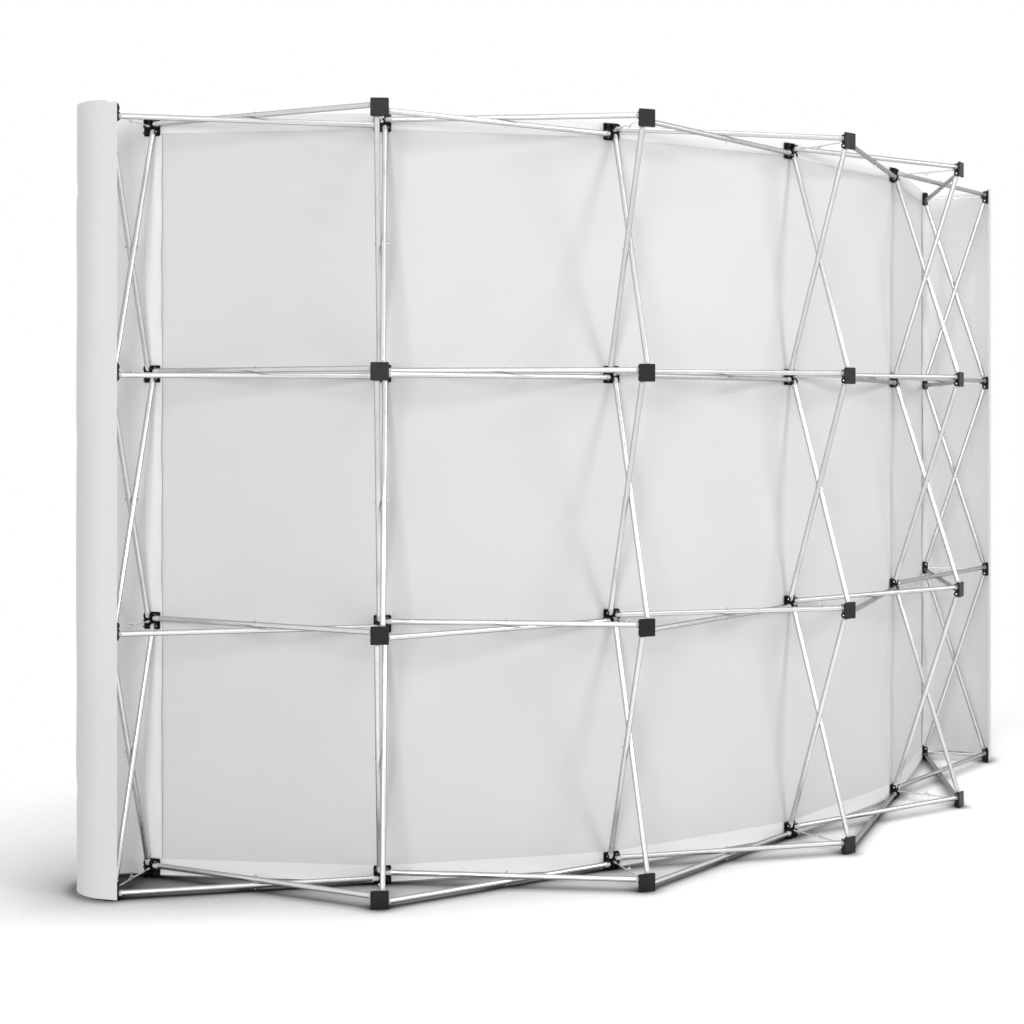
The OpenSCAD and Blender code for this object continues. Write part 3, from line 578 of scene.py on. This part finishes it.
# ---- Loop tapes ----
# White brushed loop tape, sewn along the sheet's top, bottom and ends and along the wraps' rear
# edges. Over the end columns it is wider, and its inner edge stands off the sheet between the hubs;
# a thin grey shadow is painted along that edge.
tape_w, tape_t, tape_gap = 0.048, 0.0008, 0.0002
column_tape_out, column_tape_in = 0.024, 0.033
wrap_back = 2.46706
loop_tape = white_cloth(
    "brushed_loop_tape", (0.925, 0.927, 0.93, 1), (0.95, 0.952, 0.955, 1), 0.0016, 0.0003, 0.95, 0.5)
edges = [(fabric_low, fabric_low + tape_w, "bottom"), (fabric_high - tape_w, fabric_high, "top")]
tapes = []
for low, high, name in edges:
    rows = [low + (high - low) * i / 6 for i in range(7)]
    tapes.append(cloth(f"loop_tape_{name}", across, rows,
                       lambda x, z: panel_point(x, z, -tape_gap), tape_t, 1))
tape_low, tape_high = fabric_low + tape_w + 0.0005, fabric_high - tape_w - 0.0005
tape_rows = [tape_low + (tape_high - tape_low) * i / 160 for i in range(161)]
loose_w, loose_lift = 0.014, 0.0075


def standing_edge(x, z):
    """The tape over an end column. Its inner edge lifts off the sheet between the hubs."""
    inner = x if x < bay_chord else 5 * bay_chord - x
    loose = max(0.0, (inner - column_tape_in + loose_w) / loose_w)
    wave = 0.6 + 0.4 * sin(z * 9.0 + (0 if x < bay_chord else 2.0)) * sin(z * 23.0)
    return panel_point(x, z, -tape_gap - loose_lift * loose ** 2 * wave * min(1, 3 * between_levels(z)))


for c, name in ((1, "left"), (6, "right")):
    inward = 1 if c == 1 else -1
    reaches = [-column_tape_out + (column_tape_out + column_tape_in) * i / 16 for i in range(17)]
    strip = sorted((c - 1) * bay_chord + inward * reach for reach in reaches)
    tapes.append(cloth(f"loop_tape_{name}_column", strip, tape_rows, standing_edge, tape_t, 1))
for c, name in ((1, "left"), (6, "right")):
    facing = 1 if c == 1 else -1

    def rear_tape(x, z):
        p = wall_point(c, wrap_back - tape_gap - tape_t, facing * x)
        p.z = z
        return p

    strip = [-tape_w / 2 + tape_w * i / 6 for i in range(7)]
    rows = [fabric_low + (fabric_high - fabric_low) * i / 60 for i in range(61)]
    tapes.append(cloth(f"loop_tape_{name}_wrap", strip, rows, rear_tape, tape_t, -facing))
# Painted shadow: a thin grey line along the column tapes' inner edge, standing in for the shadow the lifted
# edge throws.
painted_shadow_w, painted_shadow_tone = 0.0016, (0.42, 0.42, 0.43, 1)
shadow_lined_tape = loop_tape.copy()
shadow_lined_tape.name = "loop_tape_painted_shadow"
tree = shadow_lined_tape.node_tree
along = put(tree, "SeparateXYZ", Vector=put(tree, "UVMap").outputs[0]).outputs["X"]
from_middle = put(tree, "Math", {"operation": "SUBTRACT"}, i0=along, i1=2.5 * bay_chord).outputs[0]
from_middle = put(tree, "Math", {"operation": "ABSOLUTE"}, i0=from_middle).outputs[0]
painted_edge_shadow = put(tree, "Math", {"operation": "COMPARE"}, i0=from_middle,
               i1=2.5 * bay_chord - column_tape_in, i2=painted_shadow_w).outputs[0]
colour = tree.nodes["Principled BSDF"].inputs["Base Color"]
tree.links.new(blend_colours(tree, painted_edge_shadow, colour.links[0].from_socket, painted_shadow_tone), colour)
for tape in tapes:
    tape.data.materials.append(shadow_lined_tape if tape.name.endswith("column") else loop_tape)
    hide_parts("loop_tapes")
    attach(tape, "frame")

# ---- End wraps ----
# The sheet's two ends run on past the end columns, curl round the open sides of the frame and
# fasten on the end rear hubs. They hang in soft folds, the right one looser, with a hem behind.
wrap_r, wrap_mid = (wrap_back - fabric_back) / 2, (wrap_back + fabric_back) / 2
wrap_turn_at, wrap_end, wrap_fold = 0.031, -0.024, 0.005
arc = pi * wrap_r
wrap_len = (wrap_turn_at - hub_half) + arc + (wrap_turn_at - wrap_end)
hem_w, nick_w, nick_deep, proud = 0.028, 0.003, 0.003, 0.006
slanting_folds = ((0.17, 2.12, 0.018), (0.20, 1.36, 0.004), (0.16, 0.66, 0.004), (0.26, 0.30, 0.004))
slanting_fold_w, loose_fold = 0.026, 0.0055
belly_at, belly_w, belly_out = (wrap_turn_at - hub_half) + arc - 0.015, 0.022, 0.011


def wrap_path(x):
    """Where the wrap lies x metres from its seam: (side, ring, turn), turn from -90 to 90 degrees."""
    x -= wrap_turn_at - hub_half
    if x < 0:
        return wrap_turn_at + x, fabric_back, -pi / 2
    if x > arc:
        return wrap_turn_at - (x - arc), wrap_back, pi / 2
    a = x / wrap_r - pi / 2
    return wrap_turn_at + wrap_r * cos(a), wrap_mid + wrap_r * sin(a), a


def trim(x):
    """How far the wrap's top edge stands above the hubs' line: it is cut a little proud of the hem
    behind, with a nick where the hem begins."""
    hem = wrap_len - hem_w
    rise = min(1, max(0, (x - 0.06) / 0.12)) * min(1, max(0, (hem - x) / 0.006))
    return proud * rise - nick_deep * exp(-((x - hem - nick_w) / nick_w) ** 2)


def wrap_point(c, x, z):
    side, ring, a = wrap_path(x)
    turn = a + pi / 2
    fold = -wrap_fold * sin(turn) * sin(3 * turn) * between_levels(z) if 0 < turn < pi else 0.0
    slack = sin(turn) ** 2
    fold += 0.0016 * slack * sin(2.2 * turn + z * 7.0) * sin(z * 4.3 + c)
    # Slanting folds run down and outwards from the front hubs, deepest in the top corner.
    for at, high, deep in slanting_folds:
        across = (x - at) * 0.66 + (z - high) * 0.75
        reach = exp(-((x - at) ** 2) / 0.012 - ((z - high) ** 2) / 0.012)
        fold -= deep * slack * reach * exp(-(across / slanting_fold_w) ** 2)
    if c == 6:
        # The right wrap hangs looser: it has more folds and bellies out just before its rear hubs.
        sway = sin(6.5 * turn + 1.3 * sin(z * 2.1) + 0.5)
        fold += loose_fold * slack * sway * (0.4 + 0.6 * between_levels(z))
        fold += belly_out * exp(-((x - belly_at) / belly_w) ** 2)
    p = wall_point(c, ring + fold * sin(a), (side + fold * cos(a)) * (1 if c == 1 else -1))
    p.z = z + trim(x) * max(0.0, (z - 2.15) / (fabric_high - 2.15)) ** 2
    return p


# Painted light: the wraps are the graphic's polyester, but their colour is painted lighter, and their
# reverse side lighter still, standing in for light that passes through the thin cloth.
wrap_reverse_painted_light = white_cloth(
    "wrap_reverse_painted_light", (0.915, 0.918, 0.925, 1), (0.935, 0.938, 0.945, 1), 0.0011, 0.00012, 0.85, 0.15)
wrap_face_painted_light = white_cloth(
    "wrap_polyester_painted_light", (0.84, 0.843, 0.85, 1), (0.865, 0.868, 0.875, 1), 0.0011, 0.00012, 0.85, 0.15)
wrap_across = [wrap_len * i / 70 for i in range(71)]
wrap_up = [fabric_low + (fabric_high - fabric_low) * i / 170 for i in range(171)]
for c, name in ((1, "left_wrap"), (6, "right_wrap")):
    sides = (wrap_face_painted_light, wrap_reverse_painted_light) if c == 1 else (wrap_reverse_painted_light, wrap_face_painted_light)
    wrap = cloth("fabric_" + name, wrap_across, wrap_up, lambda x, z: wrap_point(c, x, z),
                 fabric_t, 1 if c == 1 else -1, sides)
    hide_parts(name)
    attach(wrap, "frame")
